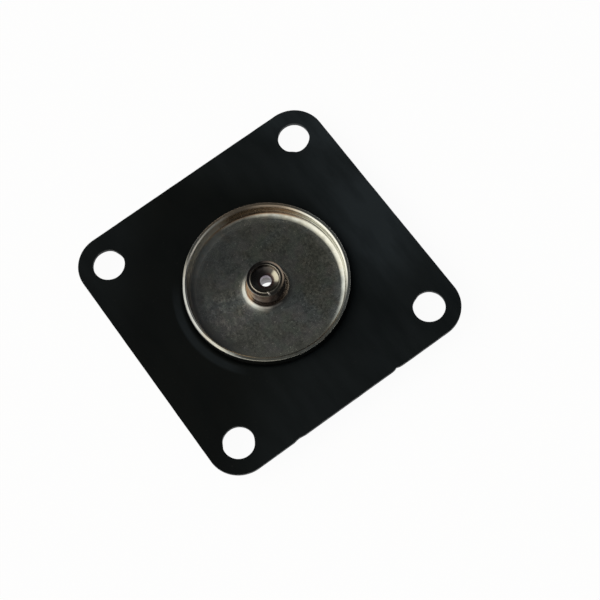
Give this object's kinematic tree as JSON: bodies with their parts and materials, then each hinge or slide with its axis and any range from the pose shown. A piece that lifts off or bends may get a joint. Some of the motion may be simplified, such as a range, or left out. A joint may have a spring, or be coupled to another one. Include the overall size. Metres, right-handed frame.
{
  "type": "valve diaphragm",
  "caption": "Square rubber valve diaphragm with corner bolt holes and a round steel spring cup riveted at its centre round a through orifice.",
  "frame": {"origin": "centre of the rivet head's flat face, the lowest face, on the diaphragm's axis", "axes": "+Z along the axis, out of the open spring cup; +X and +Y along the sides of the square sheet"},
  "size_m": [0.073, 0.073, 0.0104],
  "materials": {
    "rubber": "matte black calendered rubber with a faint sheen",
    "passivated_steel": "pressed steel, olive-grey with a mottled yellow passivation",
    "rivet_steel": "turned and clinched steel with a warm straw tint",
    "zinc_steel": "punched zinc-plated steel, satin"
  },
  "bodies": {
    "root": {"rubber_sheet": "rubber", "spring_cup": "passivated_steel", "hollow_rivet": "rivet_steel", "backing_washer": "zinc_steel"}
  },
  "joints": []
}
